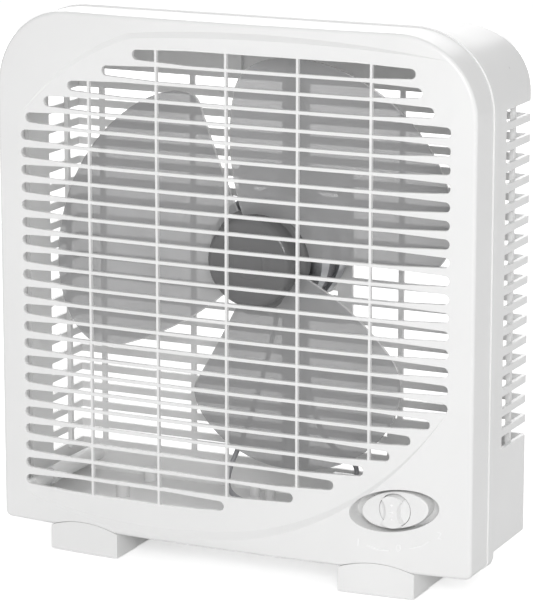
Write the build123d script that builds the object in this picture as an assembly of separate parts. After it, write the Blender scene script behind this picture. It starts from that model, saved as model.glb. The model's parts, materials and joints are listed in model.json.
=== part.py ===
from build123d import *
import math
import os

# A small box fan. X runs to the fan's right as seen from the front, Y runs to the back and Z is up.
# While the parts are made, Y = 0 is the plane through the front shell's side edges (the "depth" datum).
# Every part is moved at the end so that the origin lies on the floor at the middle of the depth.

# ---- driving dimensions, mm ----
WIDTH = 308.0
BODY_BOTTOM = 15.6
BODY_TOP = 331.2
TOP_CORNER_R = 48.0
BOTTOM_CORNER_R = 4.0
BULGE = 8.5
WALL = 2.5
LIP = 0.8
LIP_FRONT = 25.5
PARTING = 32.5
FLANGE_INSET = 1.7
FLANGE_BACK = 40.5
REAR = 94.0
FOOT_REACH = 97.0
SHELL_STEP = 2.7
SHELL_LAP = 5.0
REAR_TOP_R = 23.0
REAR_SIDE_R = 3.0
REAR_FLOOR_STEP = 2.2
REAR_FLOOR_RISE = 1.0

GRILLE_HALF = 140.0
GRILLE_SAG = 3.7
RECESS_BACK = 2.0
RECESS_INSET = 5.5
RECESS_SLOPE = 52.0
SLAT_DEPTH = 2.4
SLOT_TOP = 308.8
SLOT_PITCH = 10.67
SLOT_H = 8.75
SLOT_END_H = 6.0
SLOT_TAPER = 36.0
RIB_W = 1.4
RIB_PITCH = 45.38

FAN_Z = 184.0
FAN_R = 132.0
HUB_R = 31.0
HUB_CAP_R = 27.5
HUB_FRONT = 24.5
HUB_STEP = 39.0
HUB_BACK = 47.0
BLADE_T = 1.8
BLADE_MID_DEPTH = 41.5
BLADE_MID_ANGLE = 164.0
PITCH_ROOT = -0.041
PITCH_GROWTH = 0.00429
SHAFT_R = 4.0
BEARING_R = 7.0
MOTOR_R = 37.0
STATOR_R = 35.0
STATOR_FRONT = 61.0
STATOR_BACK = 77.0
BELL_FRONT = 50.0
BELL_BACK = 88.0
BOLT_R = 1.9
HEAD_R = 3.4
HEAD_T = 2.4
BOLT_OFFSET = 23.5

VENT_TOP = 282.3
VENT_PITCH = 12.12
VENT_OPEN = 7.6
VENT_COUNT = 17
LOW_VENT_COUNT = 3
LOW_VENT_END = 62.0
VENT_START = 53.0

KNOB_X = 107.4
KNOB_Z = 53.0
DIAL_TILT = 10.0
DISH_A = 27.8
DISH_B = 12.6
PLATE_A = 21.2
PLATE_B = 11.0
KNOB_R = 9.6
DISH_FLOOR = 7.0
PLATE_FACE = -2.8
KNOB_FACE = -2.6
GRIP_FRONT = -8.0

GLAND_X = 78.0
GLAND_Z = 46.0
GLAND_R = 8.0
CORD_R = 3.6
LEAD_R = 1.5
CLIP_Y = 50.0
CLIP_Z = 28.4

FOOT_X = 96.5
FOOT_W = 47.0
CASE_SCREWS = [(-134, 296), (134, 296), (-138, 36), (138, 36)]

MIDDLE = (FOOT_REACH - BULGE) / 2
LEFT_ENDS = [-61.0, -81.4, -104.8, -121.4, -134.3] + [-137.7] * 21
RIGHT_ENDS = [117.6, 121.6, 128.8] + [139.0] * 16 + [128.4, 116.7, 103.9, 87.6, 68.9, 43.2, -1.7]


# ---- helpers ----
def slab(sketch, front, back):
    """Extrude a front-view sketch (X, Z) between two depths."""
    return extrude(Plane.XZ.offset(-back) * sketch, amount=back - front)


def disc(r, front, back, x=0.0, z=FAN_Z):
    """A round bar along the depth."""
    return slab(Pos(x, z) * Circle(r), front, back)


def ring(r_out, r_in, front, back, x=0.0, z=FAN_Z):
    """A tube along the depth."""
    return disc(r_out, front, back, x, z) - disc(r_in, front, back, x, z)


def block(x0, x1, y0, y1, z0, z1):
    """A box given by its limits."""
    return Pos((x0 + x1) / 2, (y0 + y1) / 2, (z0 + z1) / 2) * Box(x1 - x0, y1 - y0, z1 - z0)


def upright(x, y, z0, z1, r):
    """A round bar that stands up."""
    return Pos(x, y, (z0 + z1) / 2) * Cylinder(r, z1 - z0)


def wire(points, r):
    """A round lead through the given points."""
    path = Spline(*points)
    start = Plane(origin=path @ 0, z_dir=path % 0)
    return sweep(start * Circle(r), path=path)


def body_outline(inset, bottom):
    """Front-view outline with large top corners; bottom is the level of its lower edge."""
    x = WIDTH / 2 - inset
    r = TOP_CORNER_R - inset
    top = BODY_TOP - inset
    low = bottom + max(BOTTOM_CORNER_R - 2 * inset, 0.4)
    b = low - bottom
    with BuildSketch() as sketch:
        with BuildLine():
            Line((-x + b, bottom), (x - b, bottom))
            RadiusArc((x - b, bottom), (x, low), -b)
            Line((x, low), (x, top - r))
            RadiusArc((x, top - r), (x - r, top), -r)
            Line((x - r, top), (-x + r, top))
            RadiusArc((-x + r, top), (-x, top - r), -r)
            Line((-x, top - r), (-x, low))
            RadiusArc((-x, low), (-x + b, bottom), -b)
        make_face()
    return sketch.sketch


def drum(half, sag, crown):
    """A very large upright cylinder: everything behind a surface that bulges forward to depth crown."""
    radius = half * half / (2 * sag) + sag / 2
    return Pos(0, crown + radius, BODY_TOP / 2) * Cylinder(radius, 2 * BODY_TOP)


# ---- front shell ----
def bezel_depth(x):
    """Depth of the bezel's face at a given x."""
    return -BULGE * (1 - (x / (WIDTH / 2)) ** 2)


def slots():
    """All grille slots with tapered, round-nosed ends, parted by the upright ribs."""
    sketch = Sketch()
    half = SLOT_H / 2
    nose = SLOT_END_H / 2
    for row, (left, right) in enumerate(zip(LEFT_ENDS, RIGHT_ENDS)):
        z = SLOT_TOP - SLOT_PITCH * row
        lower = [
            (left + nose, z - nose),
            (left + SLOT_TAPER, z - half),
            (right - SLOT_TAPER, z - half),
            (right - nose, z - nose),
        ]
        upper = [(x, 2 * z - height) for x, height in reversed(lower)]
        sketch += Polygon(*lower, *upper, align=None)
        sketch += Pos(left + nose, z) * Circle(nose)
        sketch += Pos(right - nose, z) * Circle(nose)
    for column in range(-2, 3):
        rib = Pos(column * RIB_PITCH, FAN_Z) * Rectangle(RIB_W, BODY_TOP)
        sketch -= rib
    return sketch


def grille_outline():
    """Outline of the recessed grille field, with long arcs at the top left and the bottom right."""
    with BuildSketch() as sketch:
        with BuildLine():
            ThreePointArc((-144, 262), (-112, 291), (-61, 315.5))
            ThreePointArc((-61, 315.5), (30, 318.6), (134, 318.2))
            ThreePointArc((134, 318.2), (141.5, 314), (145, 306))
            Line((145, 306), (145, 122))
            ThreePointArc((145, 122), (82, 60), (-17, 28.6))
            ThreePointArc((-17, 28.6), (-75, 26), (-128, 31.3))
            ThreePointArc((-128, 31.3), (-140, 36), (-144, 46))
            Line((-144, 46), (-144, 262))
        make_face()
    return sketch.sketch


def foot_outline(grow):
    """Front view of a foot with its arched top, grown all round by the given gap."""
    half = FOOT_W / 2 + grow
    with BuildSketch() as sketch:
        with BuildLine():
            Line((-half, 0.6), (half, 0.6))
            Line((half, 0.6), (half, 15.3 + grow))
            ThreePointArc((half, 15.3 + grow), (0, 19.8 + grow), (-half, 15.3 + grow))
            Line((-half, 15.3 + grow), (-half, 0.6))
        make_face()
    return sketch.sketch


def oval(a, b):
    """The dial's oval at its place and tilt."""
    return Pos(KNOB_X, KNOB_Z) * Rot(0, 0, DIAL_TILT) * Ellipse(a, b)


def front_grille():
    crown = bezel_depth(0)
    outer = slab(body_outline(0, BODY_BOTTOM), -10, PARTING) & drum(WIDTH / 2, BULGE, crown)
    outer = fillet(outer.faces().sort_by(Axis.Y)[0].edges(), 2.5)
    outer += slab(body_outline(-LIP, BODY_BOTTOM - LIP), LIP_FRONT, PARTING)
    panel = drum(GRILLE_HALF, GRILLE_SAG, bezel_depth(GRILLE_HALF) - GRILLE_SAG)
    floor_outline = Plane.XZ.offset(-RECESS_BACK) * offset(grille_outline(), -RECESS_INSET)
    recess = extrude(floor_outline, amount=14, taper=-RECESS_SLOPE)
    shell = outer - (recess - panel)
    cavity = slab(body_outline(WALL, BODY_BOTTOM + WALL), -10, PARTING + 1)
    shell -= cavity & (Pos(0, SLAT_DEPTH, 0) * panel)
    cup = slab(oval(DISH_A + 2, DISH_B + 2), -4, DISH_FLOOR + 2)
    cup &= drum(WIDTH / 2, BULGE, crown + 0.6)
    shell += cup - slab(oval(DISH_A, DISH_B), -10, DISH_FLOOR)
    shell -= slab(oval(DISH_A, DISH_B), -10, DISH_FLOOR)
    shell -= disc(4.2, 0, 15, KNOB_X, KNOB_Z)
    for x, z in CASE_SCREWS:
        shell += disc(4.5, -0.4, 24, x, z)
        shell -= disc(2.0, 8, 25, x, z)
    shell -= slab(slots(), -10, 6)
    for side in (-1, 1):
        shell -= slab(Pos(side * FOOT_X, 0) * foot_outline(0.3), -10, 20.3)
    return shell


# ---- rear shell ----
def rear_envelope(inset):
    """Outer form of the rear shell, or its inside when inset further."""
    extra = inset - SHELL_STEP
    front_view = slab(body_outline(inset, -60), PARTING - SHELL_LAP - 1, REAR + 1)
    low = BODY_BOTTOM + REAR_FLOOR_STEP + inset
    top = BODY_TOP - inset
    back = REAR - extra
    r = REAR_TOP_R - extra
    with BuildSketch(Plane.YZ) as side:
        with BuildLine():
            Line((PARTING - SHELL_LAP, low), (PARTING + 2, low))
            Line((PARTING + 2, low), (back, low + REAR_FLOOR_RISE))
            Line((back, low + REAR_FLOOR_RISE), (back, top - r))
            RadiusArc((back, top - r), (back - r, top), -r)
            Line((back - r, top), (PARTING - SHELL_LAP, top))
            Line((PARTING - SHELL_LAP, top), (PARTING - SHELL_LAP, low))
        make_face()
    side_view = extrude(side.sketch, amount=WIDTH, both=True)
    x = WIDTH / 2 - inset
    c = max(REAR_SIDE_R - extra, 0.6)
    with BuildSketch() as plan:
        with BuildLine():
            Line((-x, PARTING - SHELL_LAP), (x, PARTING - SHELL_LAP))
            Line((x, PARTING - SHELL_LAP), (x, back - c))
            RadiusArc((x, back - c), (x - c, back), -c)
            Line((x - c, back), (-x + c, back))
            RadiusArc((-x + c, back), (-x, back - c), -c)
            Line((-x, back - c), (-x, PARTING - SHELL_LAP))
        make_face()
    plan_view = extrude(plan.sketch, amount=2 * BODY_TOP)
    return front_view & side_view & plan_view


def rear_openings():
    """Louvre openings across the back and both sides; the lowest ones stop short of the gland."""
    openings = None
    x = WIDTH / 2
    for row in range(VENT_COUNT + LOW_VENT_COUNT):
        top = VENT_TOP - VENT_PITCH * row
        end = x if row < VENT_COUNT else LOW_VENT_END
        band = block(-x, end, VENT_START, REAR + 2, top - VENT_OPEN, top)
        openings = band if openings is None else openings + band
    for column in (-133.0, -70.0, 70.0, 133.0):
        openings -= block(column - 1.5, column + 1.5, REAR - 8, REAR + 5, 0, BODY_TOP)
    openings -= block(-8.8, 8.8, REAR - 8, REAR + 5, 0, BODY_TOP)
    plate = slab(Pos(0, FAN_Z) * RectangleRounded(76, 96, 6), REAR - 8, REAR + 5)
    windows = Sketch()
    for side in (-1, 1):
        for row in range(6):
            windows += Pos(side * 20, FAN_Z + (row - 2.5) * 12) * Rectangle(17, 5)
    openings -= plate - slab(windows, REAR - 9, REAR + 6)
    return openings


def rear_shell():
    inside = SHELL_STEP + WALL
    mouth = slab(body_outline(inside, BODY_BOTTOM + REAR_FLOOR_STEP + inside), 20, PARTING + 2)
    inner = rear_envelope(inside) + mouth
    flange = slab(body_outline(FLANGE_INSET, BODY_BOTTOM + FLANGE_INSET), PARTING + 0.3, FLANGE_BACK)
    shell = rear_envelope(SHELL_STEP) + flange - inner
    x = WIDTH / 2
    side_posts = Part()
    for side in (-1, 1):
        edge = side * (x - SHELL_STEP - WALL - 1.4)
        side_posts += block(edge - 1.4, edge + 1.4, 72, 75, 42, 290)
    shell -= rear_openings()
    shell += side_posts
    for side in (-1, 1):
        shell += block(side * 42.7 - 8, side * 42.7 + 8, REAR - 6, REAR - 1, 286, 312)
    for x, z in CASE_SCREWS:
        shell += disc(5.2, PARTING - 4, REAR - 2, x, z)
        shell -= disc(3.8, 46, REAR + 1, x, z)
        shell -= disc(2.1, 20, REAR, x, z)
    for sx in (-1, 1):
        for sz in (-1, 1):
            bolt_x = sx * BOLT_OFFSET
            bolt_z = FAN_Z + sz * BOLT_OFFSET
            shell += disc(4.5, BELL_BACK, REAR - 1, bolt_x, bolt_z)
            shell -= disc(BOLT_R + 0.1, BELL_BACK - 1, REAR - 2, bolt_x, bolt_z)
    shell -= disc(GLAND_R, REAR - 5, REAR + 1, GLAND_X, GLAND_Z)
    for x, y in foot_screw_places():
        shell += upright(x, y, 15, 32, 4.2) & rear_envelope(SHELL_STEP)
        shell -= upright(x, y, 10, 30, 2.05)
    return shell


# ---- feet ----
def foot_screw_places():
    """Plan positions of the screws that hold the feet."""
    return [(side * FOOT_X, y) for side in (-1, 1) for y in (46.0, 84.0)]


def foot(side):
    x = side * FOOT_X
    arch = slab(Pos(x, 0) * foot_outline(0), -10, 20) & drum(WIDTH / 2, BULGE, bezel_depth(0))
    base = block(x - FOOT_W / 2 + 0.6, x + FOOT_W / 2 - 0.6, 20, FOOT_REACH, 0.6, 15.3)
    base += block(x - FOOT_W / 2 + 0.6, x + FOOT_W / 2 - 0.6, PARTING + 1, FOOT_REACH, 10, 30)
    base -= rear_envelope(SHELL_STEP - 0.25)
    base -= block(x - 40, x + 40, PARTING, FLANGE_BACK + 0.25, BODY_BOTTOM + FLANGE_INSET - 0.25, 40)
    base -= block(x - 40, x + 40, 19, PARTING + 0.25, BODY_BOTTOM - LIP - 0.2, 40)
    base -= block(x - 40, x + 40, REAR + 0.25, FOOT_REACH + 1, 18, 40)
    piece = arch + base
    for px, y in foot_screw_places():
        piece -= upright(px, y, 0, 40, 2.1)
        piece -= upright(px, y, 0, 13, 4.0)
    for y in (9.0, 66.0):
        piece -= block(x - 12.2, x + 12.2, y - 6.2, y + 6.2, 0, 2.5)
    return piece


def foot_pads():
    pads = []
    for side in (-1, 1):
        for y in (9.0, 66.0):
            x = side * FOOT_X
            pads.append(block(x - 12, x + 12, y - 6, y + 6, 0, 2.5))
    return Compound(pads)


def screw_up(x, y, seat, tip):
    """A pan-head screw driven upwards."""
    head = upright(x, y, seat - HEAD_T, seat, HEAD_R)
    head -= block(x - 2.6, x + 2.6, y - 0.5, y + 0.5, seat - HEAD_T, seat - 1.4)
    return head + upright(x, y, seat, tip, BOLT_R)


def screw_in(x, z, seat, tip):
    """A pan-head screw driven from the back towards the front."""
    head = disc(HEAD_R, seat, seat + HEAD_T, x, z)
    head -= block(x - 2.6, x + 2.6, seat + 1.4, seat + HEAD_T, z - 0.5, z + 0.5)
    return head + disc(BOLT_R, tip, seat, x, z)


# ---- dial and switch ----
def dial_plate():
    plate = slab(oval(PLATE_A, PLATE_B), PLATE_FACE, DISH_FLOOR)
    plate = fillet(plate.faces().sort_by(Axis.Y)[0].edges(), 0.8)
    return plate - disc(KNOB_R + 0.3, -5, DISH_FLOOR + 1, KNOB_X, KNOB_Z)


def speed_knob():
    knob = disc(KNOB_R, KNOB_FACE, DISH_FLOOR - 1.5, KNOB_X, KNOB_Z)
    grip = disc(KNOB_R, GRIP_FRONT, KNOB_FACE + 1, KNOB_X, KNOB_Z)
    for side in (-1, 1):
        grip -= disc(10.5, GRIP_FRONT - 1, KNOB_FACE, KNOB_X + side * 14.0, KNOB_Z)
    knob += grip
    return knob - disc(3.0, 2.0, 10, KNOB_X, KNOB_Z)


def switch_spindle():
    return disc(3.0, 2.0, 17.5, KNOB_X, KNOB_Z)


def switch_body():
    body = block(KNOB_X - 13, KNOB_X + 13, 12.5, 27, KNOB_Z - 11, KNOB_Z + 11)
    body = fillet(body.edges().filter_by(Axis.Y), 2.0)
    body += disc(4.0, DISH_FLOOR - 0.6, 12.5, KNOB_X, KNOB_Z)
    return body - disc(3.06, 0, 18, KNOB_X, KNOB_Z)


def switch_nut():
    hexagon = Pos(KNOB_X, KNOB_Z) * RegularPolygon(6.5, 6)
    return slab(hexagon, DISH_FLOOR + 2, DISH_FLOOR + 4.2) - disc(4.0, 0, 20, KNOB_X, KNOB_Z)


def switch_terminals():
    tabs = []
    for row in (-6.0, 0.0, 6.0):
        tabs.append(block(KNOB_X - 8.4, KNOB_X - 7.6, 27, 34, KNOB_Z + row - 2.2, KNOB_Z + row + 2.2))
    return Compound(tabs)


def switch_cover():
    cover = block(KNOB_X - 20, KNOB_X + 20, 11.5, 42, KNOB_Z - 17, KNOB_Z + 17)
    cover -= block(KNOB_X - 18, KNOB_X + 18, 11, 40, KNOB_Z - 15, KNOB_Z + 15)
    cover -= block(KNOB_X - 21, KNOB_X - 17, 32, 43, KNOB_Z - 8, KNOB_Z + 8)
    return cover


# ---- fan ----
def blade_depth(angle, r):
    """Depth of a blade's middle surface; its pitch grows in proportion to the radius."""
    return BLADE_MID_DEPTH - (angle - BLADE_MID_ANGLE) * (PITCH_ROOT + PITCH_GROWTH * r)


def polar(r, angle):
    """Front-view point at a radius and angle about the fan's axis."""
    return (r * math.cos(math.radians(angle)), FAN_Z + r * math.sin(math.radians(angle)))


def blade_section(angle):
    """Slice of the blade's sheet in the plane through the fan's axis at the given angle."""
    r0, r1 = 10.0, FAN_R + 8
    y0, y1 = blade_depth(angle, r0), blade_depth(angle, r1)
    t = BLADE_T / 2
    across = (math.cos(math.radians(angle)), 0, math.sin(math.radians(angle)))
    onward = (-math.sin(math.radians(angle)), 0, math.cos(math.radians(angle)))
    radial = Plane(origin=(0, 0, FAN_Z), x_dir=across, z_dir=onward)
    return radial * Polygon((r0, y0 - t), (r1, y1 - t), (r1, y1 + t), (r0, y0 + t), align=None)


def blade():
    """One wide swept blade: a twisted sheet trimmed to its outline."""
    sheet = loft([blade_section(104.0 + step * 19.0) for step in range(8)])
    leading = [(70, 120), (95, 118.8), (106, 119.2), (113, 121.5)]
    tip = [(120, 127), (125, 137), (129, 150), (131.5, 163), (FAN_R, 177), (131, 190), (127.5, 199.5)]
    trailing = [(121, 206), (111, 211.5), (98, 215), (75, 219.5)]
    points = [polar(r, angle) for r, angle in leading + tip + trailing]
    root = [polar(HUB_CAP_R - 4, angle) for angle in (229, 122)]
    with BuildSketch() as outline:
        with BuildLine():
            Spline(*points)
            Line(points[-1], root[0])
            Line(root[0], (-10, FAN_Z))
            Line((-10, FAN_Z), root[1])
            Line(root[1], points[0])
        make_face()
    return (sheet & slab(outline.sketch, 10, 75)) - disc(HUB_CAP_R - 1, 0, 90)


def impeller():
    hub = disc(HUB_CAP_R, HUB_FRONT, HUB_BACK)
    hub = fillet(hub.faces().sort_by(Axis.Y)[0].edges(), 3.0)
    hub += disc(HUB_R, HUB_STEP, HUB_BACK)
    hub -= disc(HUB_CAP_R - 2, HUB_FRONT + 2.5, HUB_BACK + 1)
    hub += disc(8.0, HUB_FRONT + 1, HUB_BACK)
    one = blade()
    for turn in range(3):
        hub += one.rotate(Axis((0, 0, FAN_Z), (0, 1, 0)), 120.0 * turn)
    return hub - disc(SHAFT_R, HUB_FRONT + 4, HUB_BACK + 1)


def hub_clip():
    clip = ring(9.4, 8.0, HUB_BACK - 6, HUB_BACK - 3)
    return clip - block(-1.5, 1.5, 20, 60, FAN_Z, FAN_Z + 20)


# ---- motor ----
def motor_shaft():
    return disc(SHAFT_R, HUB_FRONT + 4, BELL_BACK - 1)


def rotor_core():
    return ring(19.3, SHAFT_R, STATOR_FRONT, STATOR_BACK)


def bolt_places():
    return [(sx * BOLT_OFFSET, FAN_Z + sz * BOLT_OFFSET) for sx in (-1, 1) for sz in (-1, 1)]


def stator_core():
    core = ring(STATOR_R, 20.0, STATOR_FRONT, STATOR_BACK)
    for x, z in bolt_places():
        core -= disc(BOLT_R + 0.1, 40, 99, x, z)
    return core


def stator_windings():
    front = ring(29.5, 20.5, STATOR_FRONT - 7, STATOR_FRONT)
    back = ring(29.5, 20.5, STATOR_BACK, STATOR_BACK + 6)
    return Compound([front, back])


def end_bell(front, back, cap_front, cap_back, bearing_front, bearing_back):
    bell = ring(MOTOR_R, STATOR_R, front, back) + disc(MOTOR_R, cap_front, cap_back)
    bell += disc(BEARING_R + 3, bearing_front, bearing_back)
    bell -= disc(BEARING_R, 40, 99)
    for x, z in bolt_places():
        bell -= disc(BOLT_R + 0.1, 40, 99, x, z)
    return bell


def bearing(front, back):
    return ring(BEARING_R, SHAFT_R + 0.05, front, back)


def motor_bolts():
    bolts = []
    for x, z in bolt_places():
        head = disc(HEAD_R, BELL_FRONT - 1.2, BELL_FRONT, x, z)
        bolts.append(head + disc(BOLT_R, BELL_FRONT, REAR - 2.5, x, z))
    return Compound(bolts)


def thermal_fuse():
    return Pos(0, 57.5, FAN_Z - 31.5) * Rot(0, 90, 0) * Cylinder(1.9, 10)


# ---- electrics ----
def cord_gland():
    collar = ring(GLAND_R + 2, CORD_R, REAR, REAR + 2.5, GLAND_X, GLAND_Z)
    neck = ring(GLAND_R - 0.1, CORD_R, REAR - 6, REAR, GLAND_X, GLAND_Z)
    return collar + neck + ring(GLAND_R + 1.6, CORD_R, REAR - 6, REAR - 2.6, GLAND_X, GLAND_Z)


def capacitor():
    can = block(30, 62, 74, 88, 24, 44)
    return fillet(can.edges().filter_by(Axis.X), 2.5)


def wire_clips():
    clips = []
    for x in (-10.0, 45.0):
        clip = block(x - 4, x + 4, CLIP_Y - 6, CLIP_Y + 6, 23.5, 31)
        clip -= Pos(x, CLIP_Y, CLIP_Z) * Rot(0, 90, 0) * Cylinder(LEAD_R + 0.8, 20)
        clips.append(clip - block(x - 5, x + 5, CLIP_Y - 1, CLIP_Y + 1, CLIP_Z, 35))
    return Compound(clips)


def supply_leads():
    gland_end = [(GLAND_X, REAR - 12, GLAND_Z), (74, 66, 50)]
    switch_end = [(76, 48, 55), (84, 38.5, 57), (97.2, 36.6, 57)]
    return wire(gland_end + switch_end, LEAD_R)


def motor_leads():
    drop = FAN_Z - MOTOR_R - 1.6
    to_capacitor = [(8, 84, drop), (12, 82, 120), (18, 78, 88), (36, 77, 60), (46, 81, 50), (46, 81, 44.1)]
    down = [(-8, 84, drop), (-14, 80, 110), (-26, 68, 60), (-28, 56, 34)]
    along = [(-10, CLIP_Y, CLIP_Z), (18, CLIP_Y, CLIP_Z), (45, CLIP_Y, CLIP_Z), (62, CLIP_Y, CLIP_Z)]
    up = [(74, 46, 36), (84, 38.5, 47), (97.2, 36.6, 50)]
    return Compound([wire(to_capacitor, LEAD_R), wire(down + along + up, LEAD_R)])


def wire_connectors():
    caps = []
    for x in (-14.0, -4.0):
        caps.append(Pos(x, 64, 30) * Cylinder(3.2, 12))
    return Compound(caps)


# ---- write every node ----
def nodes():
    return {
        "front_grille": front_grille(),
        "rear_shell": rear_shell(),
        "foot_left": foot(-1),
        "foot_right": foot(1),
        "foot_pads": foot_pads(),
        "foot_screws": Compound([screw_up(x, y, 13.0, 29.0) for x, y in foot_screw_places()]),
        "dial_plate": dial_plate(),
        "speed_knob": speed_knob(),
        "switch_spindle": switch_spindle(),
        "switch_body": switch_body(),
        "switch_nut": switch_nut(),
        "switch_terminals": switch_terminals(),
        "switch_cover": switch_cover(),
        "impeller": impeller(),
        "hub_clip": hub_clip(),
        "motor_shaft": motor_shaft(),
        "rotor_core": rotor_core(),
        "stator_core": stator_core(),
        "stator_windings": stator_windings(),
        "motor_front_bell": end_bell(BELL_FRONT, 61.0, BELL_FRONT, 52.5, 50.0, 57.0),
        "motor_rear_bell": end_bell(77.0, BELL_BACK, 85.5, BELL_BACK, 81.0, BELL_BACK),
        "front_bearing": bearing(50.0, 57.0),
        "rear_bearing": bearing(81.0, BELL_BACK),
        "motor_bolts": motor_bolts(),
        "case_screws": Compound([screw_in(x, z, 46.0, 12.0) for x, z in CASE_SCREWS]),
        "thermal_fuse": thermal_fuse(),
        "cord_gland": cord_gland(),
        "capacitor": capacitor(),
        "wire_clips": wire_clips(),
        "supply_leads": supply_leads(),
        "motor_leads": motor_leads(),
        "wire_connectors": wire_connectors(),
    }


os.makedirs("parts", exist_ok=True)
for name, part in nodes().items():
    export_step(Location((0, -MIDDLE, 0)) * part, f"parts/{name}.step")
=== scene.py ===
import json
import math

import bmesh
import bpy
from mathutils import Matrix, Vector

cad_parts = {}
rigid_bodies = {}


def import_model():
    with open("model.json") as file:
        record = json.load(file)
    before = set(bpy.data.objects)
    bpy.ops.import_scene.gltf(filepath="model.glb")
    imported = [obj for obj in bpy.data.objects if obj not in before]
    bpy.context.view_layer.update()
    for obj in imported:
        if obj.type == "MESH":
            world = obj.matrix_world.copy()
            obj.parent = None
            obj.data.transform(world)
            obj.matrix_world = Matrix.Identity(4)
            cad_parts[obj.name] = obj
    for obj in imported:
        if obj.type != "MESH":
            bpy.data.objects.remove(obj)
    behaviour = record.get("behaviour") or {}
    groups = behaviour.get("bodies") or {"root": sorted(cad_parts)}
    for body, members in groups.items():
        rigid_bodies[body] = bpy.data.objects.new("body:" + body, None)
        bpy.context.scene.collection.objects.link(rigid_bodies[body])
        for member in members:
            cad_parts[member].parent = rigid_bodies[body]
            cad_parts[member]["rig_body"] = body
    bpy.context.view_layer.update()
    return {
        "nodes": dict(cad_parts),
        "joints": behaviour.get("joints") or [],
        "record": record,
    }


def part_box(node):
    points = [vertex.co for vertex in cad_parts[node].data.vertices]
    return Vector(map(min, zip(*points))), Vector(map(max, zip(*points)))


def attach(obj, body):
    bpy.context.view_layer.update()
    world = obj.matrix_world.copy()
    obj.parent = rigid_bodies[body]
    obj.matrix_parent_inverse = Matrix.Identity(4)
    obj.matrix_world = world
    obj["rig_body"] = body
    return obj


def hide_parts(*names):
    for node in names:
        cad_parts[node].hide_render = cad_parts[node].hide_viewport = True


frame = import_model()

# ---- the camera, in metres and degrees ----
CAMERA_PLACE = (0.8181, -1.7252, 0.5952)
CAMERA_AZIMUTH = 25.29
CAMERA_DROP = 12.911
SENSOR = 36.0
LENS = 221.0

# ---- sizes shared with the design, in metres ----
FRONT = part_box("front_grille")[0].y
BULGE = 0.0085
LIP = 0.0008
HALF_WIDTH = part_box("front_grille")[1].x - LIP
KNOB_LOW, KNOB_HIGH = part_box("speed_knob")
KNOB_CENTRE = (KNOB_LOW + KNOB_HIGH) / 2
FAN_Z = frame["joints"][0]["pos_m"][2]
DEPTH_ORIGIN = FRONT + BULGE


# ---- mesh helpers ----
def bezel_y(x):
    """Depth of the bulged bezel's face at x."""
    return FRONT + BULGE * (x / HALF_WIDTH) ** 2


def add_object(name, mesh):
    """A new object in the scene that holds the mesh."""
    piece = bpy.data.objects.new(name, mesh)
    bpy.context.scene.collection.objects.link(piece)
    return piece


def settle(piece, sharp=50.0):
    """Smooth shading that keeps flat faces flat, then every modifier applied to the mesh."""
    for face in piece.data.polygons:
        face.use_smooth = True
    piece.data.set_sharp_from_angle(angle=math.radians(sharp))
    weighted = piece.modifiers.new("weighted", "WEIGHTED_NORMAL")
    weighted.keep_sharp = True
    graph = bpy.context.evaluated_depsgraph_get()
    mesh = bpy.data.meshes.new_from_object(piece.evaluated_get(graph))
    piece.modifiers.clear()
    piece.data = mesh
    return piece


def place(piece, body, slot, finish, *nodes):
    """Give a piece its body and its material, and hide the CAD nodes that it stands for. The slot is not
    used.
    """
    piece.data.materials.clear()
    piece.data.materials.append(finish)
    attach(piece, body)
    if nodes:
        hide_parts(*nodes)
    return piece


def rounded(node, width, segments=2, corner=35.0):
    """A copy of a CAD node whose corners sharper than the given angle are rounded off."""
    bm = bmesh.new()
    bm.from_mesh(frame["nodes"][node].data)
    bmesh.ops.remove_doubles(bm, verts=bm.verts, dist=1e-6)
    limit = math.radians(corner)
    edges = [e for e in bm.edges if len(e.link_faces) == 2 and e.calc_face_angle(0) > limit]
    bmesh.ops.bevel(bm, geom=edges, offset=width, segments=segments, profile=0.5, affect="EDGES",
                    clamp_overlap=True, miter_outer="ARC")
    mesh = bpy.data.meshes.new(node)
    bm.to_mesh(mesh)
    bm.free()
    return add_object(node + ".skin", mesh)


# ---- materials ----
def link(tree, source, output, target, socket):
    """Join one node's output to another's socket."""
    tree.links.new(source.outputs[output], target.inputs[socket])


def base_material(name):
    """A material with its shader and object coordinates."""
    finish = bpy.data.materials.new(name)
    finish.use_nodes = True
    tree = finish.node_tree
    coords = tree.nodes.new("ShaderNodeTexCoord")
    return finish, tree, tree.nodes["Principled BSDF"], coords


def add_noise(tree, coords, scale, detail=2.0, stretch=(1, 1, 1)):
    """Noise over the object, optionally stretched along its axes."""
    mapping = tree.nodes.new("ShaderNodeMapping")
    mapping.inputs["Scale"].default_value = stretch
    link(tree, coords, "Object", mapping, "Vector")
    noise = tree.nodes.new("ShaderNodeTexNoise")
    noise.inputs["Scale"].default_value = scale
    noise.inputs["Detail"].default_value = detail
    link(tree, mapping, "Vector", noise, "Vector")
    return noise


def add_ramp(tree, source, low, high, start=0.3, end=0.7):
    """A colour ramp between two colours."""
    ramp = tree.nodes.new("ShaderNodeValToRGB")
    ramp.color_ramp.elements[0].position = start
    ramp.color_ramp.elements[1].position = end
    ramp.color_ramp.elements[0].color = (*low, 1.0)
    ramp.color_ramp.elements[1].color = (*high, 1.0)
    link(tree, source, "Fac", ramp, "Fac")
    return ramp


def add_range(tree, source, low, high):
    """The source's value spread over a new range."""
    span = tree.nodes.new("ShaderNodeMapRange")
    span.inputs["To Min"].default_value = low
    span.inputs["To Max"].default_value = high
    link(tree, source, "Fac", span, "Value")
    return span


def add_bump(tree, source, shader, strength, distance):
    """Fine relief on the shader's normal."""
    bump = tree.nodes.new("ShaderNodeBump")
    bump.inputs["Strength"].default_value = strength
    bump.inputs["Distance"].default_value = distance
    link(tree, source, "Fac", bump, "Height")
    link(tree, bump, "Normal", shader, "Normal")


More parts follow.
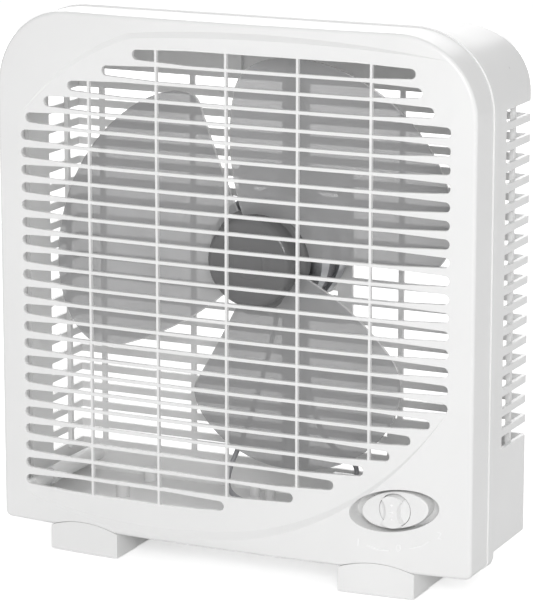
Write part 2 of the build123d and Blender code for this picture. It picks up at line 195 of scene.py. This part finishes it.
def plastic(name, colour, rough, grain=1600.0, relief=0.00002, shade=0.97, coat=0.0):
    """Moulded plastic: faint tone drift, uneven gloss and a fine spark-eroded grain."""
    finish, tree, shader, coords = base_material(name)
    cloud = add_noise(tree, coords, 14.0, 3.0)
    low = tuple(c * shade for c in colour)
    link(tree, add_ramp(tree, cloud, low, colour), "Color", shader, "Base Color")
    smear = add_noise(tree, coords, 90.0, 4.0)
    link(tree, add_range(tree, smear, rough * 0.8, rough * 1.25), "Result", shader, "Roughness")
    skin = add_noise(tree, coords, grain, 1.0)
    add_bump(tree, skin, shader, 0.35, relief)
    shader.inputs["IOR"].default_value = 1.5
    shader.inputs["Coat Weight"].default_value = coat
    shader.inputs["Coat Roughness"].default_value = 0.15
    return finish


def metal(name, colour, rough, stretch=(1, 1, 1), grain=700.0):
    """Plated or drawn metal with fine streaks."""
    finish, tree, shader, coords = base_material(name)
    streak = add_noise(tree, coords, grain, 3.0, stretch)
    low = tuple(c * 0.82 for c in colour)
    link(tree, add_ramp(tree, streak, low, colour), "Color", shader, "Base Color")
    link(tree, add_range(tree, streak, rough * 0.7, rough * 1.3), "Result", shader, "Roughness")
    add_bump(tree, streak, shader, 0.3, 0.00003)
    shader.inputs["Metallic"].default_value = 1.0
    return finish


def layered(name, colour, gap, rough, metallic, axis):
    """Stacked sheets or wound wire: fine bands along one axis."""
    finish, tree, shader, coords = base_material(name)
    wave = tree.nodes.new("ShaderNodeTexWave")
    wave.bands_direction = axis
    wave.inputs["Scale"].default_value = 0.314 / gap
    wave.inputs["Distortion"].default_value = 0.6
    link(tree, coords, "Object", wave, "Vector")
    low = tuple(c * 0.55 for c in colour)
    link(tree, add_ramp(tree, wave, low, colour, 0.1, 0.6), "Color", shader, "Base Color")
    link(tree, add_range(tree, wave, rough * 1.2, rough * 0.8), "Result", shader, "Roughness")
    add_bump(tree, wave, shader, 0.6, gap * 0.2)
    shader.inputs["Metallic"].default_value = metallic
    return finish


# The blade's edge weight, which the impeller's material uses to paint a highlight along the rim.
PAINTED_RIM_HIGHLIGHT = "rim"


def smoke(name, alpha, grey):
    """Tinted see-through plastic for the impeller, with a painted highlight: whiter towards a blade's rim.
    """
    finish, tree, shader, coords = base_material(name)
    cloud = add_noise(tree, coords, 18.0, 2.0)
    tint = add_ramp(tree, cloud, (grey, grey, grey * 1.01), (grey * 1.1, grey * 1.1, grey * 1.11))
    # Painted highlight: the blade's colour turns whiter towards its rim.
    rim = tree.nodes.new("ShaderNodeAttribute")
    rim.attribute_name = PAINTED_RIM_HIGHLIGHT
    rim_highlight_mix = tree.nodes.new("ShaderNodeMix")
    rim_highlight_mix.data_type = "RGBA"
    link(tree, rim, "Fac", rim_highlight_mix, 0)
    link(tree, tint, "Color", rim_highlight_mix, 6)
    rim_highlight_mix.inputs[7].default_value = (0.95, 0.95, 0.95, 1.0)
    link(tree, rim_highlight_mix, 2, shader, "Base Color")
    smear = add_noise(tree, coords, 60.0, 3.0)
    link(tree, add_range(tree, smear, 0.12, 0.2), "Result", shader, "Roughness")
    add_bump(tree, add_noise(tree, coords, 120.0, 1.0), shader, 0.1, 0.00005)
    shader.inputs["Alpha"].default_value = alpha
    shader.inputs["IOR"].default_value = 1.5
    return finish


WHITE = (0.87, 0.87, 0.867)
FINISHES = {
    "white_plastic": plastic("white_plastic", WHITE, 0.3, coat=0.15),
    "legend_white": plastic("legend_white", (0.97, 0.97, 0.97), 0.25, coat=0.3),
    "smoke_plastic": smoke("smoke_plastic", 0.68, 0.43),
    # The hub's plastic is a darker, more opaque copy of the blades', painted shade for the dark motor
    # behind it.
    "smoke_hub_painted_shade": smoke("smoke_hub_painted_shade", 0.85, 0.2),
    "black_plastic": plastic("black_plastic", (0.035, 0.035, 0.038), 0.45, 900.0, 0.00004, 0.8),
    "rubber": plastic("rubber", (0.16, 0.16, 0.165), 0.7, 600.0, 0.00008, 0.75),
    "zinc": metal("zinc", (0.62, 0.63, 0.65), 0.32, (1, 12, 1)),
    "brass": metal("brass", (0.78, 0.6, 0.3), 0.3),
    "copper": layered("copper", (0.72, 0.3, 0.14), 0.0009, 0.35, 0.8, "Y"),
    "laminations": layered("laminations", (0.3, 0.3, 0.32), 0.001, 0.45, 0.9, "Y"),
    "lead_grey": plastic("lead_grey", (0.42, 0.42, 0.44), 0.4, 900.0, 0.00003, 0.8),
}
ROUNDING = {
    "front_grille": 0.0005,
    "rear_shell": 0.0005,
    "foot_left": 0.0008,
    "foot_right": 0.0008,
    "dial_plate": 0.0003,
    "speed_knob": 0.0005,
    "switch_body": 0.0004,
    "switch_cover": 0.0004,
    "capacitor": 0.0004,
    "motor_front_bell": 0.0006,
    "motor_rear_bell": 0.0006,
    "motor_bolts": 0.0003,
    "case_screws": 0.0003,
    "foot_screws": 0.0003,
    "cord_gland": 0.0005,
    "stator_windings": 0.002,
    "wire_clips": 0.0003,
    "foot_pads": 0.0004,
}


def dress_nodes():
    """Every CAD node gets its finish; the ones with crisp corners get a rounded skin."""
    slots = {part["node"]: part["material_slot"] for part in frame["record"]["subparts"]}
    for node, thing in frame["nodes"].items():
        finish = FINISHES[slots[node]]
        if node == "impeller":
            continue
        if node in ROUNDING:
            skin = settle(rounded(node, ROUNDING[node]))
            place(skin, thing["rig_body"], slots[node], finish, node)
        else:
            for index in range(len(thing.material_slots)):
                thing.material_slots[index].material = finish


# ---- impeller ----
HUB_R = 0.031
HUB_CAP_R = 0.0275
ROOT_R = HUB_CAP_R - 0.0004
TIP_R = 0.132
CORNER_R = 0.100
TIP_ANGLE = 175.0
BLADE_T = 0.0018
BLADE_MID = 164.0
BLADE_MID_DEPTH = 0.0415
PITCH_ROOT = -0.000041
PITCH_GROWTH = 0.00429
EDGE_STEPS = (0.0, 0.00012, 0.00045, 0.0009)


def blade_edges(r):
    """Angles of the leading and trailing edges at radius r, both sweeping into one round tip."""
    leading = 122.0 - 3.3 * min(r / CORNER_R, 1.0)
    trailing = 219.5 - 190.0 * (r - 0.075)
    if r > CORNER_R:
        turn = 1.0 - math.cos(math.asin(min((r - CORNER_R) / (TIP_R - CORNER_R), 1.0)))
        leading += (TIP_ANGLE - leading) * turn
        trailing += (TIP_ANGLE - trailing) * turn ** 1.5
    return leading, trailing


def blade_depth(r, angle):
    """Depth of the blade's middle surface; the pitch grows with the radius."""
    return BLADE_MID_DEPTH - (angle - BLADE_MID) * (PITCH_ROOT + PITCH_GROWTH * r)


def blade_rows():
    """Radii of the blade's rows, closer together towards the tip."""
    inner = [ROOT_R + (CORNER_R - ROOT_R) * i / 14 for i in range(14)]
    corner = [CORNER_R + (TIP_R - CORNER_R) * math.sin(math.radians(90 * i / 22)) for i in range(22)]
    rim = [TIP_R - step for step in reversed(EDGE_STEPS)]
    return [r for r in inner + corner if r < rim[0] - 0.0003] + rim


def blade_columns(r, steps=30):
    """Angles and distances from the edges along one row."""
    leading, trailing = blade_edges(r)
    width = math.radians(trailing - leading) * r
    span = max(width - 2 * EDGE_STEPS[-1], 0.0)
    scale = min(1.0, width / (2 * EDGE_STEPS[-1]) if width else 0.0)
    near = [step * scale for step in EDGE_STEPS]
    middle = [near[-1] + span * i / steps for i in range(1, steps)]
    offsets = near + middle + [width - step for step in reversed(near)]
    return [(leading + math.degrees(d / r), min(d, width - d, TIP_R - r)) for d in offsets]


def add_blade(bm, turn):
    """A helicoid sheet with a rounded rim, both faces stitched together."""
    sheets = {1: [], -1: []}
    rim = bm.verts.layers.float[PAINTED_RIM_HIGHLIGHT]
    for r in blade_rows():
        for side in (1, -1):
            row = []
            for angle, edge in blade_columns(r):
                inside = 1.0 - min(max(edge, 0.0) / EDGE_STEPS[-1], 1.0)
                half = BLADE_T / 2 * math.sqrt(max(1.0 - inside * inside, 0.0))
                y = DEPTH_ORIGIN + blade_depth(r, angle) + side * half
                at = math.radians(angle + turn)
                row.append(bm.verts.new((r * math.cos(at), y, FAN_Z + r * math.sin(at))))
                # The edge weight also paints a highlight along the blade's rim.
                row[-1][rim] = inside
            sheets[side].append(row)
    for side, rows in sheets.items():
        for low, high in zip(rows, rows[1:]):
            for i in range(len(low) - 1):
                quad = (low[i], low[i + 1], high[i + 1], high[i])
                bm.faces.new(quad if side > 0 else quad[::-1])
    front, back = sheets[-1][0], sheets[1][0]
    for i in range(len(front) - 1):
        bm.faces.new((front[i], front[i + 1], back[i + 1], back[i]))


def lathe(bm, profile, segments=96, centre=(0.0, FAN_Z)):
    """Revolve (radius, depth) points about the fan's axis; points on the axis become one vertex."""
    rings = []
    for r, depth in profile:
        if r == 0:
            rings.append([bm.verts.new((centre[0], DEPTH_ORIGIN + depth, centre[1]))])
            continue
        ring = []
        for i in range(segments):
            at = 2 * math.pi * i / segments
            spot = (centre[0] + r * math.cos(at), DEPTH_ORIGIN + depth, centre[1] + r * math.sin(at))
            ring.append(bm.verts.new(spot))
        rings.append(ring)
    for first, second in zip(rings, rings[1:]):
        for i in range(segments):
            j = (i + 1) % segments
            near = [first[i % len(first)], first[j % len(first)]]
            far = [second[j % len(second)], second[i % len(second)]]
            bm.faces.new(list(dict.fromkeys(near + far)))


def finish_mesh(name, bm):
    """Weld, face outwards and hand over the mesh as an object."""
    bmesh.ops.remove_doubles(bm, verts=bm.verts, dist=1e-7)
    bmesh.ops.dissolve_degenerate(bm, edges=bm.edges, dist=1e-7)
    bmesh.ops.recalc_face_normals(bm, faces=bm.faces)
    mesh = bpy.data.meshes.new(name)
    bm.to_mesh(mesh)
    bm.free()
    return add_object(name, mesh)


def round_corner(r_from, depth_from, r_to, depth_to, steps=6):
    """Profile points of a quarter round from a flat face (r_from) out to a side wall (r_to)."""
    points = []
    for i in range(steps + 1):
        at = math.pi / 2 * i / steps
        r = r_from + (r_to - r_from) * math.sin(at)
        points.append((r, depth_to + (depth_from - depth_to) * math.cos(at)))
    return points


def add_blades():
    """The three blades as one piece."""
    bm = bmesh.new()
    bm.verts.layers.float.new(PAINTED_RIM_HIGHLIGHT)
    for turn in (0, 120, 240):
        add_blade(bm, turn)
    blades = settle(finish_mesh("impeller.blades", bm), 60.0)
    place(blades, "fan", "smoke_plastic", FINISHES["smoke_plastic"], "impeller")


def add_hub():
    """The hub turned about the axis: a cap with a dimple, a wider ring behind it and a boss inside."""
    bm = bmesh.new()
    outside = [(0.0, 0.0250), (0.009, 0.0250), (0.0095, 0.0247), (0.0105, 0.0245)]
    outside += round_corner(0.0235, 0.0245, HUB_CAP_R, 0.0285)
    outside += [(HUB_CAP_R, 0.0386)] + round_corner(0.0285, 0.0390, HUB_R, 0.0410)
    outside += [(HUB_R, 0.0466), (HUB_R - 0.0004, 0.0470)]
    inside = [(0.026, 0.0470), (0.0255, 0.0465), (0.0255, 0.029), (0.0235, 0.027), (0.0085, 0.027)]
    boss = [(0.008, 0.0275), (0.008, 0.0466), (0.0076, 0.0470), (0.0041, 0.0470)]
    boss += [(0.0041, 0.0285), (0.0, 0.0285)]
    lathe(bm, outside + inside + boss)
    hub = settle(finish_mesh("impeller.hub", bm), 40.0)
    # Its finish is the darker copy of the blade plastic, with shade painted in.
    place(hub, "fan", "smoke_plastic", FINISHES["smoke_hub_painted_shade"], "impeller")


# ---- dial legend and grip dots ----
LEGEND_FLOAT = 0.00012
LEGEND_RISE = 0.0004
DIGIT_H = 0.0046
DIGITS = (("1", -0.0218, -0.0216), ("0", 0.0031, -0.0222), ("2", 0.0278, -0.0120))
ARCS = (
    ((-0.0162, -0.0225), (-0.0094, -0.0242), (-0.0027, -0.0240)),
    ((0.0101, -0.0214), (0.0167, -0.0192), (0.0221, -0.0156)),
)
DOT_R = 0.0009
DOT_GAP = 0.0042


def digit_mesh(text, x, z):
    """A raised digit as a mesh, upright in the front view."""
    curve = bpy.data.curves.new("digit", "FONT")
    curve.body = text
    curve.size = DIGIT_H * 1.4
    curve.align_x = "CENTER"
    curve.align_y = "CENTER"
    curve.extrude = LEGEND_RISE / 2
    curve.resolution_u = 4
    holder = add_object("digit", curve)
    graph = bpy.context.evaluated_depsgraph_get()
    mesh = bpy.data.meshes.new_from_object(holder.evaluated_get(graph))
    bpy.data.objects.remove(holder)
    for vert in mesh.vertices:
        flat = vert.co.copy()
        vert.co = (x + flat.x, -flat.z, z + flat.y)
    return mesh


def add_arc(bm, points, steps=14, half=0.00035):
    """A thin raised stroke through three points given from the dial's centre."""
    first, middle, last = (Vector(p) for p in points)
    section = ((-half, 0.0001), (-half, -LEGEND_RISE), (half, -LEGEND_RISE), (half, 0.0001))
    rows = []
    for i in range(steps + 1):
        t = i / steps
        spot = first * (1 - t) * (1 - 2 * t) + middle * 4 * t * (1 - t) + last * t * (2 * t - 1)
        row = [bm.verts.new((KNOB_CENTRE.x + spot.x, y, KNOB_CENTRE.z + spot.y + g)) for g, y in section]
        rows.append(row)
    for low, high in zip(rows, rows[1:]):
        for i in range(4):
            j = (i + 1) % 4
            bm.faces.new((low[i], low[j], high[j], high[i]))
    bm.faces.new(rows[0][::-1])
    bm.faces.new(rows[-1])


def add_legend():
    """The dial's raised 1, 0 and 2 with two arcs between them, laid on the bulged bezel."""
    bm = bmesh.new()
    for text, x, z in DIGITS:
        bm.from_mesh(digit_mesh(text, KNOB_CENTRE.x + x, KNOB_CENTRE.z + z))
    for points in ARCS:
        add_arc(bm, points)
    for vert in bm.verts:
        vert.co.y += bezel_y(vert.co.x) - LEGEND_FLOAT
    legend = settle(finish_mesh("dial.legend", bm), 30.0)
    place(legend, "cabinet", "white_plastic", FINISHES["legend_white"])


def add_grip_dots():
    """Three small raised dots along the knob's grip."""
    bm = bmesh.new()
    for row in (-1, 0, 1):
        spot = Matrix.Translation((KNOB_CENTRE.x, KNOB_LOW.y + 0.0001, KNOB_CENTRE.z + row * DOT_GAP))
        flat = Matrix.Diagonal((1.0, 0.6, 1.0, 1.0))
        bmesh.ops.create_uvsphere(bm, u_segments=16, v_segments=10, radius=DOT_R, matrix=spot @ flat)
    dots = settle(finish_mesh("speed_knob.dots", bm))
    place(dots, "dial", "white_plastic", FINISHES["legend_white"])


# ---- surroundings ----
FLOOR_SIZE = 14.0
FLOOR_GLOW = 0.5
WORLD_LEFT = 0.6
WORLD_RIGHT = 0.45
AIM = (0, 0, 0.16)
LAMPS = (
    # name, place, size, power
    ("key", (1.05, -1.95, 0.95), 0.8, 23.0),
    ("top", (-0.2, 0.1, 2.0), 1.8, 2.5),
    ("back", (-0.5, 1.8, 0.8), 1.6, 13.0),
)


def add_floor():
    """The plain pale floor; its glow only shows to the camera, so it adds no light."""
    bpy.ops.mesh.primitive_plane_add(size=FLOOR_SIZE, location=(0, 0, 0))
    floor = bpy.context.object
    floor.name = "floor"
    finish, tree, shader, coords = base_material("floor")
    cloud = add_noise(tree, coords, 3.0, 2.0)
    link(tree, add_ramp(tree, cloud, (0.93, 0.93, 0.93), (0.95, 0.95, 0.95)), "Color", shader, "Base Color")
    shader.inputs["Roughness"].default_value = 0.7
    shader.inputs["Emission Color"].default_value = (1, 1, 1, 1)
    path = tree.nodes.new("ShaderNodeLightPath")
    glow = tree.nodes.new("ShaderNodeMath")
    glow.operation = "MULTIPLY"
    glow.inputs[1].default_value = FLOOR_GLOW
    link(tree, path, "Is Camera Ray", glow, 0)
    link(tree, glow, "Value", shader, "Emission Strength")
    floor.data.materials.append(finish)


def add_lamp(name, place_at, size, power):
    """A soft square lamp turned towards the fan."""
    data = bpy.data.lights.new(name, "AREA")
    data.size = size
    data.energy = power
    lamp = bpy.data.objects.new(name, data)
    bpy.context.scene.collection.objects.link(lamp)
    lamp.location = place_at
    lamp.rotation_euler = (Vector(AIM) - Vector(place_at)).to_track_quat("-Z", "Y").to_euler()


def add_lights():
    """A pale sky, dimmer on the fan's right, and three soft lamps."""
    world = bpy.data.worlds.new("studio")
    bpy.context.scene.world = world
    world.use_nodes = True
    tree = world.node_tree
    backdrop = tree.nodes["Background"]
    backdrop.inputs["Color"].default_value = (1, 1, 1, 1)
    coords = tree.nodes.new("ShaderNodeTexCoord")
    parts = tree.nodes.new("ShaderNodeSeparateXYZ")
    link(tree, coords, "Generated", parts, "Vector")
    fall = tree.nodes.new("ShaderNodeMapRange")
    fall.inputs["From Min"].default_value = -1.0
    fall.inputs["To Min"].default_value = WORLD_LEFT
    fall.inputs["To Max"].default_value = WORLD_RIGHT
    link(tree, parts, "X", fall, "Value")
    link(tree, fall, "Result", backdrop, "Strength")
    for lamp in LAMPS:
        add_lamp(*lamp)
    bpy.context.scene.view_settings.view_transform = "Standard"


def add_camera():
    data = bpy.data.cameras.new("camera")
    data.sensor_fit = "HORIZONTAL"
    data.sensor_width = SENSOR
    data.lens = LENS
    data.clip_start = 0.05
    data.clip_end = 50.0
    camera = bpy.data.objects.new("camera", data)
    bpy.context.scene.collection.objects.link(camera)
    camera.location = CAMERA_PLACE
    camera.rotation_euler = (math.radians(90.0 - CAMERA_DROP), 0.0, math.radians(CAMERA_AZIMUTH))
    bpy.context.scene.camera = camera


add_camera()
add_lights()
add_floor()
dress_nodes()
add_blades()
add_hub()
add_legend()
add_grip_dots()
